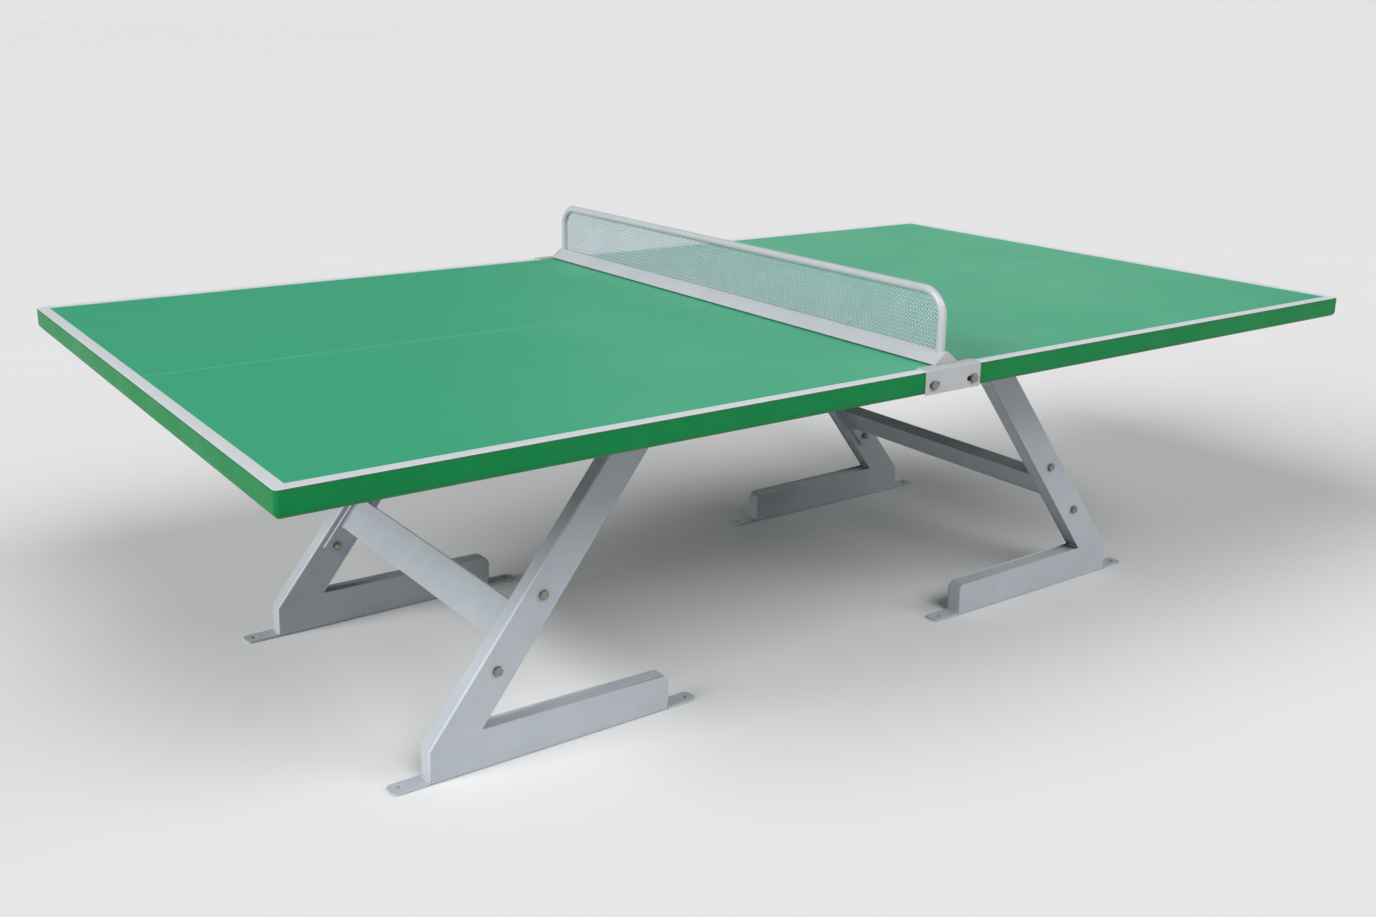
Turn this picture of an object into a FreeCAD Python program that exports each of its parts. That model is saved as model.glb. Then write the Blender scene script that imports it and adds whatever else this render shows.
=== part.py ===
"""Outdoor table tennis table on four Z-shaped steel legs, with a fixed steel net.

Frame: X runs along the table's length, Y across it, Z up. The origin is on the
ground under the middle of the top. "near" is the -Y side, "far" the +Y side,
"left" is -X and "right" is +X. Sizes are in millimetres.

Each piece is modelled once in the far right quarter, where X and Y are positive,
and mirrored to the other quarters.
"""
import FreeCAD, Part
import math
import os

os.makedirs("parts", exist_ok=True)
V = FreeCAD.Vector

# Playing top: a flat sheet on a frame of folded channels
TOP_LENGTH = 2740.0
TOP_WIDTH = 1525.0
TOP_HEIGHT = 760.0
SHEET_THICK = 3.0
SKIRT_DEPTH = 48.0       # visible edge of the top, sheet included
CORNER_RADIUS = 9.0      # outer corners, seen from above
RAIL_WALL = 3.0
RAIL_FLANGE = 40.0
BEAM_WALL = 3.0
JOIST_WIDTH = 40.0
JOIST_X = 930.0          # middle of the outer joist, from the net line
CENTRE_BOLT_PITCH = 350.0
CENTRE_BOLT_COUNT = 4

# Feet: box tubes lying on the ground, one under each leg
FOOT_Y = 400.0           # middle of the foot and leg, from the centre line
FOOT_OUT = 985.0         # outer end of the foot, from the net line
FOOT_LENGTH = 550.0
FOOT_HEIGHT = 80.0
TUBE_WIDTH = 40.0        # width of the foot and leg tubes, across the table
TUBE_WALL = 3.0
FOOT_NOSE_RADIUS = 15.0  # rounded upper corner of the foot's inner end
KNEE_DROP = 10.0         # the leg's slope starts this far below the foot's top

# Anchor tabs welded to both ends of each foot
TAB_LENGTH = 75.0
TAB_THICK = 6.0
TAB_HOLE = 13.0
TAB_HOLE_EDGE = 22.0     # hole centre to the tab's free end
TAB_RADIUS = 12.0

# Legs: box tubes leaning in towards the net line
LEG_DEPTH = 75.0         # measured square across the leaning tube
LEG_TOP_OUT = 495.0      # outer edge of the leg where it meets its top plate
LEG_PLATE_THICK = 8.0
LEG_PLATE_MARGIN = 8.0   # plate beyond the leg's end, along the table
LEG_BOLT_GAP = 18.0      # bolt centre to the side of the leg
LEG_BOLT_EDGE = 16.0     # bolt centre to the edge of the plate

# Cross brace between the two legs of a pair
BRACE_HEIGHT = 265.0     # middle of the brace above the ground
BRACE_DEPTH = 80.0       # along the leg
BRACE_THICK = 30.0       # across the leg
BRACE_WALL = 2.5
BRACE_PLATE_THICK = 8.0
BRACE_PLATE_WIDTH = 50.0
BRACE_BOLT_GAP = 44.0    # bolt centre beyond the brace's edge
BRACE_PLATE_EDGE = 19.0  # bolt centre to the end of the plate

# Net: a bent tube filled with steel mesh, standing on a folded base
NET_HEIGHT = 152.5
NET_TUBE = 18.0
NET_TUBE_WALL = 2.0
NET_BEND = 51.0          # bend radius at the middle of the tube
NET_INSET = 28.5         # outer side of the upright to the edge of the top
MESH_THICK = 2.0
BASE_HALF_WIDTH = 30.0
BASE_RIDGE = 8.0         # width of the flat along the ridge
BASE_HEIGHT = 24.0
BASE_SHEET = 3.0
GUSSET_HALF_WIDTH = 34.0

# Net brackets: one folded plate over each edge of the top
BRACKET_LENGTH = 150.0
BRACKET_SHEET = 3.0
BRACKET_DROP = 47.0      # how far the plate reaches down from the playing surface
BRACKET_FLANGE = 26.0    # how far the flange reaches in over the top
BRACKET_BEND = 2.5
NET_BOLT_X = 55.0        # bolts from the net line
NET_BOLT_DOWN = 28.0     # bolts below the playing surface
SLOT_HEIGHT = 11.0
SLOT_INNER = 38.0        # inner end of each slot, from the net line
NET_TRAVEL = 5.0         # the slots let the net shift this far each way

# Fasteners: shank diameter, size across the flats, head height, nut height
M10 = (10.0, 17.0, 6.4, 8.0)
M12 = (12.0, 18.0, 7.5, 10.0)
HOLE_CLEARANCE = 1.0     # added to a bolt's diameter for its hole
END_CLEARANCE = 3.0      # bolt thread showing past its nut

FRAME_TOP = TOP_HEIGHT - SHEET_THICK
FRAME_BOTTOM = TOP_HEIGHT - SKIRT_DEPTH
HALF_LENGTH = TOP_LENGTH / 2
HALF_WIDTH = TOP_WIDTH / 2

# The leg's outer edge runs from the knee on the foot's end up to the top plate
KNEE_HEIGHT = FOOT_HEIGHT - KNEE_DROP
LEG_TOP = FRAME_BOTTOM - LEG_PLATE_THICK
LEG_SLOPE = (FOOT_OUT - LEG_TOP_OUT) / (LEG_TOP - KNEE_HEIGHT)
LEAN = math.atan(LEG_SLOPE)
LEG_ACROSS = LEG_DEPTH / math.cos(LEAN)
LEG_PLATE_X = LEG_TOP_OUT - LEG_ACROSS / 2
LEG_PLATE_LENGTH = LEG_ACROSS + 2 * LEG_PLATE_MARGIN
LEG_PLATE_WIDTH = TUBE_WIDTH + 2 * (LEG_BOLT_GAP + LEG_BOLT_EDGE)
LEG_INNER_FACE = FOOT_Y - TUBE_WIDTH / 2
LEG_OUTER_FACE = FOOT_Y + TUBE_WIDTH / 2
FOOT_IN = FOOT_OUT - FOOT_LENGTH

# Heights in the net
BASE_BOTTOM = TOP_HEIGHT + BRACKET_SHEET
RIDGE_TOP = BASE_BOTTOM + BASE_HEIGHT
NET_TOP = TOP_HEIGHT + NET_HEIGHT
UPRIGHT_Y = HALF_WIDTH - NET_INSET - NET_TUBE / 2
BASE_END_Y = HALF_WIDTH - BRACKET_FLANGE + BRACKET_SHEET
NET_BOLT_Z = TOP_HEIGHT - NET_BOLT_DOWN


def box(x_range, y_range, z_range):
    """Box from three (low, high) pairs."""
    size = [high - low for low, high in (x_range, y_range, z_range)]
    return Part.makeBox(*size, V(x_range[0], y_range[0], z_range[0]))


def side_prism(outline, y_low, y_high):
    """Solid whose outline is a list of (x, z) points, running along Y."""
    points = [V(x, y_low, z) for x, z in outline]
    face = Part.Face(Part.makePolygon(points + points[:1]))
    return face.extrude(V(0, y_high - y_low, 0))


def fillet_where(shape, radius, chosen):
    """Round the edges whose middle point satisfies chosen(point)."""
    edges = [edge for edge in shape.Edges if chosen(edge.CenterOfMass)]
    return shape.makeFillet(radius, edges)


def upright_edges(shape):
    """Edges of a slab that stand parallel to Z."""
    return [edge for edge in shape.Edges if edge.BoundBox.XLength + edge.BoundBox.YLength < 1e-6]


def mirror_x(shape):
    return shape.mirror(V(0, 0, 0), V(1, 0, 0))


def mirror_y(shape):
    return shape.mirror(V(0, 0, 0), V(0, 1, 0))


def moved(shape, position, direction):
    """Copy of a shape, turned so that its +Z faces the direction and then moved."""
    copy = shape.copy()
    turn = FreeCAD.Rotation(V(0, 0, 1), V(*direction))
    copy.Placement = FreeCAD.Placement(position, turn).multiply(shape.Placement)
    return copy


def hexagon(flats, height):
    """Hexagonal prism standing on the XY plane round the Z axis."""
    corner = flats / math.sqrt(3)
    angles = [math.radians(60 * index) for index in range(7)]
    points = [V(corner * math.cos(angle), corner * math.sin(angle), 0) for angle in angles]
    return Part.Face(Part.makePolygon(points)).extrude(V(0, 0, height))


def bolt(size, grip):
    """Hex bolt: the head's underside is on the XY plane, the shank points down."""
    diameter, flats, head, nut_height = size
    length = grip + nut_height + END_CLEARANCE
    shank = Part.makeCylinder(diameter / 2, length, V(0, 0, -length))
    return hexagon(flats, head).fuse(shank).removeSplitter()


def nut(size, grip):
    """Hex nut on the same axis as its bolt, its upper face at the grip's end."""
    diameter, flats, _, height = size
    blank = hexagon(flats, height).cut(Part.makeCylinder(diameter / 2, height))
    return moved(blank, V(0, 0, -grip - height), (0, 0, 1))


def hole(size, centre, direction, depth):
    """Clearance hole for a bolt, running the given depth both ways from its centre."""
    axis = V(*direction)
    return Part.makeCylinder((size[0] + HOLE_CLEARANCE) / 2, 2 * depth, centre - axis * depth, axis)


def leg_edge_x(z, inset=0.0):
    """X of the leg's outer edge at a height, moved in square to the edge by inset."""
    return FOOT_OUT - (z - KNEE_HEIGHT) * LEG_SLOPE - inset / math.cos(LEAN)


def leg_centre_x(z):
    return leg_edge_x(z, LEG_DEPTH / 2)


def brace_point(along=0.0, y=0.0):
    """Point on the leg's centre line, the given distance up the leg from the brace."""
    z = BRACE_HEIGHT + along * math.cos(LEAN)
    return V(leg_centre_x(z), y, z)


BRACE_BOLTS = [brace_point(side * (BRACE_DEPTH / 2 + BRACE_BOLT_GAP)) for side in (-1, 1)]


def top_plan(inset, z_low, z_high):
    """Slab with the outline of the whole top, rounded at its corners, moved in by inset."""
    x, y = HALF_LENGTH - inset, HALF_WIDTH - inset
    slab = box((-x, x), (-y, y), (z_low, z_high))
    return slab.makeFillet(max(CORNER_RADIUS - inset, 1.0), upright_edges(slab))


def top_sheet():
    """Playing sheet of the right half."""
    half = box((0, TOP_LENGTH), (-TOP_WIDTH, TOP_WIDTH), (FRAME_TOP, TOP_HEIGHT))
    return top_plan(0, FRAME_TOP, TOP_HEIGHT).common(half)


def frame_rails():
    """Four mitred channels round the right half, their webs outwards."""
    half = box((0, TOP_LENGTH), (-TOP_WIDTH, TOP_WIDTH), (0, TOP_HEIGHT))
    groove_half = box((RAIL_WALL, TOP_LENGTH), (-TOP_WIDTH, TOP_WIDTH), (0, TOP_HEIGHT))
    groove = top_plan(RAIL_WALL, FRAME_BOTTOM + RAIL_WALL, FRAME_TOP - RAIL_WALL).common(groove_half)
    inside_y = HALF_WIDTH - RAIL_FLANGE
    inside = box((RAIL_FLANGE, HALF_LENGTH - RAIL_FLANGE), (-inside_y, inside_y), (FRAME_BOTTOM, FRAME_TOP))
    ring = top_plan(0, FRAME_BOTTOM, FRAME_TOP).common(half).cut(groove).cut(inside)
    corners = [(0, -HALF_WIDTH), (HALF_LENGTH, -HALF_WIDTH), (HALF_LENGTH, HALF_WIDTH), (0, HALF_WIDTH)]
    rails = {}
    for index, name in enumerate(("side_rail_near", "end_rail", "side_rail_far", "centre_rail")):
        first, second = corners[index], corners[(index + 1) % 4]
        inner = [(x + RAIL_FLANGE if x == 0 else x - RAIL_FLANGE, math.copysign(inside_y, y))
                 for x, y in (second, first)]
        outline = [V(x, y, FRAME_BOTTOM) for x, y in [first, second] + inner]
        wedge = Part.Face(Part.makePolygon(outline + outline[:1])).extrude(V(0, 0, FRAME_TOP - FRAME_BOTTOM))
        rails[name] = ring.common(wedge)
    return rails


def cross_tube(centre_x, width):
    """Hollow tube across the right half, between the flanges of its side rails."""
    y = HALF_WIDTH - RAIL_FLANGE
    outer = box((centre_x - width / 2, centre_x + width / 2), (-y, y), (FRAME_BOTTOM, FRAME_TOP))
    bore = box((centre_x - width / 2 + BEAM_WALL, centre_x + width / 2 - BEAM_WALL), (-y, y),
               (FRAME_BOTTOM + BEAM_WALL, FRAME_TOP - BEAM_WALL))
    return outer.cut(bore)


def leg_bolt_places():
    """Bolt centres of one leg's top plate, on its underside."""
    x_offset = LEG_PLATE_LENGTH / 2 - LEG_BOLT_EDGE
    y_offset = LEG_PLATE_WIDTH / 2 - LEG_BOLT_EDGE
    return [V(LEG_PLATE_X + x_side * x_offset, FOOT_Y + y_side * y_offset, LEG_TOP)
            for x_side in (-1, 1) for y_side in (-1, 1)]


def leg_top_plate():
    plate = box((LEG_PLATE_X - LEG_PLATE_LENGTH / 2, LEG_PLATE_X + LEG_PLATE_LENGTH / 2),
                (FOOT_Y - LEG_PLATE_WIDTH / 2, FOOT_Y + LEG_PLATE_WIDTH / 2), (LEG_TOP, FRAME_BOTTOM))
    for place in leg_bolt_places():
        plate = plate.cut(hole(M10, place, (0, 0, 1), 2 * LEG_PLATE_THICK))
    return plate


def leg_outline(inset):
    """Side view of the leaning tube, moved in by the wall thickness for its bore."""
    back = LEG_DEPTH - inset
    corners = [(FOOT_HEIGHT, inset), (LEG_TOP, inset), (LEG_TOP, back), (FOOT_HEIGHT, back)]
    return [(leg_edge_x(z, across), z) for z, across in corners]


def leg():
    tube = side_prism(leg_outline(0), LEG_INNER_FACE, LEG_OUTER_FACE)
    bore = side_prism(leg_outline(TUBE_WALL), LEG_INNER_FACE + TUBE_WALL, LEG_OUTER_FACE - TUBE_WALL)
    tube = tube.cut(bore)
    for place in BRACE_BOLTS:
        tube = tube.cut(hole(M12, place + V(0, FOOT_Y, 0), (0, 1, 0), TUBE_WIDTH))
    return tube


def foot_outline(inset):
    """Side view of the foot. Its outer end stands up to the knee and then follows the leg."""
    low, high = inset, FOOT_HEIGHT - inset
    inner, outer = FOOT_IN + inset, FOOT_OUT - inset
    knee = KNEE_HEIGHT + (FOOT_OUT - inset / math.cos(LEAN) - outer) / LEG_SLOPE
    return [(inner, low), (outer, low), (outer, knee), (leg_edge_x(high, inset), high), (inner, high)]


def foot():
    def body(inset):
        shape = side_prism(foot_outline(inset), LEG_INNER_FACE + inset, LEG_OUTER_FACE - inset)
        corner = V(FOOT_IN + inset, FOOT_Y, FOOT_HEIGHT - inset)
        return fillet_where(shape, FOOT_NOSE_RADIUS - inset, lambda point: (point - corner).Length < 0.01)
    return body(0).cut(body(TUBE_WALL))


def anchor_tab(joined_x, outwards):
    """Tab welded to the end face of a foot at joined_x, pointing outwards (+1 or -1)."""
    end_x = joined_x + outwards * TAB_LENGTH
    tab = box(sorted((joined_x, end_x)), (LEG_INNER_FACE, LEG_OUTER_FACE), (0, TAB_THICK))
    corners = [edge for edge in upright_edges(tab) if abs(edge.CenterOfMass.x - end_x) < 0.01]
    tab = tab.makeFillet(TAB_RADIUS, corners)
    bore = Part.makeCylinder(TAB_HOLE / 2, TAB_THICK, V(end_x - outwards * TAB_HOLE_EDGE, FOOT_Y, 0))
    return tab.cut(bore)


def lean_with_leg(shape):
    """Lean a piece modelled upright about the origin and set it at the brace's middle."""
    return moved(shape, brace_point(), (-math.sin(LEAN), 0, math.cos(LEAN)))


def brace():
    y = LEG_INNER_FACE - BRACE_PLATE_THICK
    outer = box((-BRACE_THICK / 2, BRACE_THICK / 2), (-y, y), (-BRACE_DEPTH / 2, BRACE_DEPTH / 2))
    bore = box((BRACE_WALL - BRACE_THICK / 2, BRACE_THICK / 2 - BRACE_WALL), (-y, y),
               (BRACE_WALL - BRACE_DEPTH / 2, BRACE_DEPTH / 2 - BRACE_WALL))
    return lean_with_leg(outer.cut(bore))


def brace_plate():
    half_width = BRACE_PLATE_WIDTH / 2
    half_height = BRACE_DEPTH / 2 + BRACE_BOLT_GAP + BRACE_PLATE_EDGE
    upright = box((-half_width, half_width), (LEG_INNER_FACE - BRACE_PLATE_THICK, LEG_INNER_FACE),
                  (-half_height, half_height))
    plate = lean_with_leg(upright)
    for place in BRACE_BOLTS:
        plate = plate.cut(hole(M12, place + V(0, LEG_INNER_FACE, 0), (0, 1, 0), 2 * BRACE_PLATE_THICK))
    return plate


def tube_along(points, bend, radius):
    """Round bar of the given radius along straight runs joined by tangent arcs."""
    edges = []
    start = points[0]
    for corner, following in zip(points[1:-1], points[2:]):
        back, ahead = (start - corner).normalize(), (following - corner).normalize()
        before, after = corner + back * bend, corner + ahead * bend
        arc_middle = corner + (back + ahead) * (bend * (1 - math.sqrt(0.5)))
        edges.append(Part.makeLine(start, before))
        edges.append(Part.Arc(before, arc_middle, after).toShape())
        start = after
    edges.append(Part.makeLine(start, points[-1]))
    ring = Part.Wire([Part.makeCircle(radius, points[0], points[1] - points[0])])
    return Part.Wire(edges).makePipeShell([ring], True, True)


def net_bar(radius):
    """Inverted U of the net's tube, as a solid bar of the given radius."""
    rail_z = NET_TOP - NET_TUBE / 2
    corners = [(-UPRIGHT_Y, BASE_BOTTOM), (-UPRIGHT_Y, rail_z), (UPRIGHT_Y, rail_z), (UPRIGHT_Y, BASE_BOTTOM)]
    return tube_along([V(0, y, z) for y, z in corners], NET_BEND, radius)


def base_outline(inset):
    """Cross-section of the net's base: an inverted V with a narrow flat ridge."""
    half_ridge = BASE_RIDGE / 2
    slant = math.atan2(BASE_HEIGHT, BASE_HALF_WIDTH - half_ridge)
    foot_shift = inset / math.sin(slant)
    ridge_shift = inset * math.tan(slant / 2)
    top = RIDGE_TOP - inset
    return [(-BASE_HALF_WIDTH + foot_shift, BASE_BOTTOM), (-half_ridge + ridge_shift, top),
            (half_ridge - ridge_shift, top), (BASE_HALF_WIDTH - foot_shift, BASE_BOTTOM)]


def net_base():
    outer = side_prism(base_outline(0), -BASE_END_Y, BASE_END_Y)
    return outer.cut(side_prism(base_outline(BASE_SHEET), -BASE_END_Y, BASE_END_Y))


def net_frame():
    tube = net_bar(NET_TUBE / 2).cut(net_bar(NET_TUBE / 2 - NET_TUBE_WALL))
    return tube.cut(side_prism(base_outline(0), -HALF_WIDTH, HALF_WIDTH))


def net_mesh():
    """Panel that fills the tube frame down to the ridge of the base."""
    half = MESH_THICK / 2
    panel = box((-half, half), (-UPRIGHT_Y, UPRIGHT_Y), (RIDGE_TOP, NET_TOP - NET_TUBE / 2))
    panel = fillet_where(panel, NET_BEND, lambda point: abs(point.x) < 0.01 and point.z > NET_TOP - NET_TUBE
                         and abs(point.y) > UPRIGHT_Y - 0.01)
    return panel.cut(net_bar(NET_TUBE / 2))


def net_gusset():
    """Plate that closes the far end of the base and stands on the bracket's flange."""
    half_ridge = BASE_RIDGE / 2
    outline = [(-GUSSET_HALF_WIDTH, BASE_BOTTOM), (-half_ridge, RIDGE_TOP), (half_ridge, RIDGE_TOP),
               (GUSSET_HALF_WIDTH, BASE_BOTTOM)]
    return side_prism(outline, BASE_END_Y, BASE_END_Y + BASE_SHEET)


def bolt_slot(side):
    """Cutter for a round-ended slot, in which a net bolt has room for the net's travel."""
    radius = SLOT_HEIGHT / 2
    bolt_room = NET_TRAVEL + (SLOT_HEIGHT - M10[0]) / 2
    low, high = sorted((side * (SLOT_INNER + radius), side * (NET_BOLT_X + bolt_room)))
    y_low, depth = HALF_WIDTH - BRACKET_SHEET, 3 * BRACKET_SHEET
    middle = box((low, high), (y_low, y_low + depth), (NET_BOLT_Z - radius, NET_BOLT_Z + radius))
    ends = [Part.makeCylinder(radius, depth, V(x, y_low, NET_BOLT_Z), V(0, 1, 0)) for x in (low, high)]
    return middle.fuse(ends).removeSplitter()


def net_bracket():
    """Folded plate on the far edge: a flange over the top and a slotted skirt plate."""
    half = BRACKET_LENGTH / 2
    outer_y = HALF_WIDTH + BRACKET_SHEET
    whole = box((-half, half), (HALF_WIDTH - BRACKET_FLANGE, outer_y),
                (TOP_HEIGHT - BRACKET_DROP, TOP_HEIGHT + BRACKET_SHEET))
    whole = fillet_where(whole, BRACKET_BEND, lambda point: point.y > outer_y - 0.01 and point.z > TOP_HEIGHT
                         and abs(point.x) < 0.01)
    bracket = whole.cut(box((-half, half), (0, HALF_WIDTH), (0, TOP_HEIGHT)))
    return bracket.cut(bolt_slot(-1)).cut(bolt_slot(1))


def fasteners(size, grip, places):
    """Bolts and nuts for (head position, direction the head faces) pairs."""
    bolts = [moved(bolt(size, grip), position, direction) for position, direction in places]
    nuts = [moved(nut(size, grip), position, direction) for position, direction in places]
    return bolts, nuts


def quarter_copies(shapes):
    """The shapes of the far right quarter with their copies in the other three."""
    right = shapes + [mirror_y(shape) for shape in shapes]
    return right + [mirror_x(shape) for shape in right]


def save(name, shapes):
    """Write one node. Several shapes become a group of separate solids."""
    node = shapes[0] if len(shapes) == 1 else Part.makeCompound(shapes)
    volume = node.Volume / 1000
    print(f"{name:28s} solids {len(node.Solids)}  volume {volume:9.1f} cm3  valid {node.isValid()}")
    node.exportStep(f"parts/{name}.step")


def with_net_holes(rail):
    """Side rail with the holes for the net bracket's bolt."""
    for side in (-1, 1):
        rail = rail.cut(hole(M10, V(NET_BOLT_X, side * HALF_WIDTH, NET_BOLT_Z), (0, 1, 0), 2 * RAIL_WALL))
    return rail


def centre_bolt_places():
    """Bolt centres between the two centre rails, in the net line."""
    z = (FRAME_TOP + FRAME_BOTTOM) / 2
    middle = (CENTRE_BOLT_COUNT - 1) / 2
    return [V(0, (index - middle) * CENTRE_BOLT_PITCH, z) for index in range(CENTRE_BOLT_COUNT)]


def build_top():
    rails = frame_rails()
    centre_places = centre_bolt_places()
    for place in centre_places:
        rails["centre_rail"] = rails["centre_rail"].cut(hole(M10, place, (1, 0, 0), 2 * RAIL_WALL))
    beam = cross_tube(LEG_PLATE_X, LEG_PLATE_LENGTH)
    plate_places = leg_bolt_places()
    for place in plate_places + [mirror_y(Part.Vertex(place)).Point for place in plate_places]:
        beam = beam.cut(hole(M10, V(place.x, place.y, FRAME_BOTTOM), (0, 0, 1), 2 * BEAM_WALL))
    pieces = {"top_sheet": top_sheet(), "leg_beam": beam, "outer_joist": cross_tube(JOIST_X, JOIST_WIDTH)}
    pieces.update({name: with_net_holes(rail) if "side" in name else rail for name, rail in rails.items()})
    for name, shape in pieces.items():
        save(f"{name}_right", [shape])
        save(f"{name}_left", [mirror_x(shape)])
    head_places = [(place + V(RAIL_WALL, 0, 0), (1, 0, 0)) for place in centre_places]
    bolts, nuts = fasteners(M10, 2 * RAIL_WALL, head_places)
    save("centre_bolts", bolts)
    save("centre_nuts", nuts)
    bolts, nuts = fasteners(M10, LEG_PLATE_THICK + BEAM_WALL, [(place, (0, 0, -1)) for place in plate_places])
    save("leg_plate_bolts", quarter_copies(bolts))
    save("leg_plate_nuts", quarter_copies(nuts))


def build_legs():
    quarter = {"foot": foot(), "leg": leg(), "leg_top_plate": leg_top_plate(), "brace_plate": brace_plate(),
               "outer_anchor_tab": anchor_tab(FOOT_OUT, 1), "inner_anchor_tab": anchor_tab(FOOT_IN, -1)}
    for name, shape in quarter.items():
        save(f"{name}_right_far", [shape])
        save(f"{name}_right_near", [mirror_y(shape)])
        save(f"{name}_left_far", [mirror_x(shape)])
        save(f"{name}_left_near", [mirror_x(mirror_y(shape))])
    save("brace_right", [brace()])
    save("brace_left", [mirror_x(brace())])
    places = [(place + V(0, LEG_OUTER_FACE, 0), (0, 1, 0)) for place in BRACE_BOLTS]
    bolts, nuts = fasteners(M12, TUBE_WIDTH + BRACE_PLATE_THICK, places)
    save("brace_bolts", quarter_copies(bolts))
    save("brace_nuts", quarter_copies(nuts))


def build_net():
    save("net_frame", [net_frame()])
    save("net_mesh", [net_mesh()])
    save("net_base", [net_base()])
    for name, shape in (("net_gusset", net_gusset()), ("net_bracket", net_bracket())):
        save(f"{name}_far", [shape])
        save(f"{name}_near", [mirror_y(shape)])
    place = V(NET_BOLT_X, HALF_WIDTH + BRACKET_SHEET, NET_BOLT_Z)
    bolts, nuts = fasteners(M10, BRACKET_SHEET + RAIL_WALL, [(place, (0, 1, 0))])
    save("net_bolts", quarter_copies(bolts))
    save("net_nuts", quarter_copies(nuts))


build_top()
build_legs()
build_net()
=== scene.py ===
# %% [markdown]
# # The looks of an outdoor table tennis table
#
# The structure comes ready made: every sheet, tube, plate and bolt is a CAD node with its real size and place.
# This lesson turns that frame into a table that looks made. Three things carry most of it: edges that are rounded
# the way folded sheet and drawn tube really are, small hardware with its true form, and coatings with a fine skin.

# %% Load the frame
import math
import bmesh
import bpy
from mathutils import Matrix, Vector, noise


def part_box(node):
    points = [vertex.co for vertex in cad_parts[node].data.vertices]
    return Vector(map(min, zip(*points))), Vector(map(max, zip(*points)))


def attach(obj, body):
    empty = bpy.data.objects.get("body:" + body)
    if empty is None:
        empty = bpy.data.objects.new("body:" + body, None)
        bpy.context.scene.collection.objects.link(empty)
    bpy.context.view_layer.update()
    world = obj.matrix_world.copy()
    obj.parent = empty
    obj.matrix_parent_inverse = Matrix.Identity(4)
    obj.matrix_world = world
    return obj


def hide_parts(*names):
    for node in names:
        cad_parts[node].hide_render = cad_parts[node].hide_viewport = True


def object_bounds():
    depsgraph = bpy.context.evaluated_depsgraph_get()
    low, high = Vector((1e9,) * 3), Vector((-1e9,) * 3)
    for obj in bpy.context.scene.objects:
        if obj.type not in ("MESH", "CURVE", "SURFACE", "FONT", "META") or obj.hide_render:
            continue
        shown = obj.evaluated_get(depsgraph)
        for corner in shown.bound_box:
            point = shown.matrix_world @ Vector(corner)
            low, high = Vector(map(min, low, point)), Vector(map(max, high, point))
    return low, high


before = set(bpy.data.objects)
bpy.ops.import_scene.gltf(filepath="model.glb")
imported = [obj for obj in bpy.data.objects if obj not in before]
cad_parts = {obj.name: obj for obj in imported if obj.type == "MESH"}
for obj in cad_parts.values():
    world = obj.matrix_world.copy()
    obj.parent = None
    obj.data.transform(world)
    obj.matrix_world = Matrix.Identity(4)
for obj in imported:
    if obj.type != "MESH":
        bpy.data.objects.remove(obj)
scene = bpy.context.scene
cad_low, cad_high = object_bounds()
print("CAD box", [round(size, 4) for size in cad_high - cad_low], "nodes", len(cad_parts))

# %% [markdown]
# ## Camera
#
# A camera is a place, three angles and a lens. The view looks down the length of the table from its near left
# corner. A small vertical shift keeps the legs upright in the picture while the whole table stays in it.

# %% Camera
CAMERA_PLACE = Vector((-2.0202, -2.6653, 1.4280))
CAMERA_YAW = 0.6244      # radians from the table's +Y towards +X
CAMERA_PITCH = 0.2403    # radians below the horizon
CAMERA_ROLL = 0.0152
CAMERA_LENS = 37.25      # millimetres
SENSOR_WIDTH = 36        # millimetres
CAMERA_SHIFT = (0.0013, -0.0694)

forward = Vector((math.sin(CAMERA_YAW) * math.cos(CAMERA_PITCH), math.cos(CAMERA_YAW) * math.cos(CAMERA_PITCH),
                  -math.sin(CAMERA_PITCH)))
level_right = Vector((math.cos(CAMERA_YAW), -math.sin(CAMERA_YAW), 0))
level_up = level_right.cross(forward)
right = math.cos(CAMERA_ROLL) * level_right + math.sin(CAMERA_ROLL) * level_up
up = math.cos(CAMERA_ROLL) * level_up - math.sin(CAMERA_ROLL) * level_right

camera_data = bpy.data.cameras.new("camera")
camera_data.lens = CAMERA_LENS
camera_data.sensor_width = SENSOR_WIDTH
camera_data.shift_x, camera_data.shift_y = CAMERA_SHIFT
camera = bpy.data.objects.new("camera", camera_data)
scene.collection.objects.link(camera)
camera.matrix_world = Matrix.Translation(CAMERA_PLACE) @ Matrix((right, up, -forward)).transposed().to_4x4()
scene.camera = camera
print("camera at", [round(value, 3) for value in camera.location], "lens", CAMERA_LENS)

# %% [markdown]
# ## Helpers for materials
#
# Colours are picked as sRGB hex codes, the way paint charts give them, but a renderer adds light in linear units.
# One function does that conversion. A second one adds a node with its settings and links in a single call, which
# keeps each material short enough to read as a recipe. A third starts an empty material and gives the place of each
# point in metres, so that every pattern can be measured in real sizes.

# %% Colour and node helpers
COLOUR_A, COLOUR_B, MIXED = 6, 7, 2     # the Mix node's sockets for colours


def srgb(code):
    """Linear colour with alpha from a hex code such as #45A57D."""
    channels = [int(code[start:start + 2], 16) / 255 for start in (1, 3, 5)]
    return [c / 12.92 if c <= 0.04045 else ((c + 0.055) / 1.055) ** 2.4 for c in channels] + [1.0]


def add_node(tree, kind, inputs=None, **settings):
    """Add a node. An input is a value, a node (its first output) or a pair of a node and an output's name."""
    made = tree.nodes.new(kind)
    for name, value in settings.items():
        setattr(made, name, value)
    for socket, value in (inputs or {}).items():
        source, output = value if isinstance(value, tuple) else (value, 0)
        if isinstance(source, bpy.types.Node):
            tree.links.new(source.outputs[output], made.inputs[socket])
        else:
            made.inputs[socket].default_value = value
    return made


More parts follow.
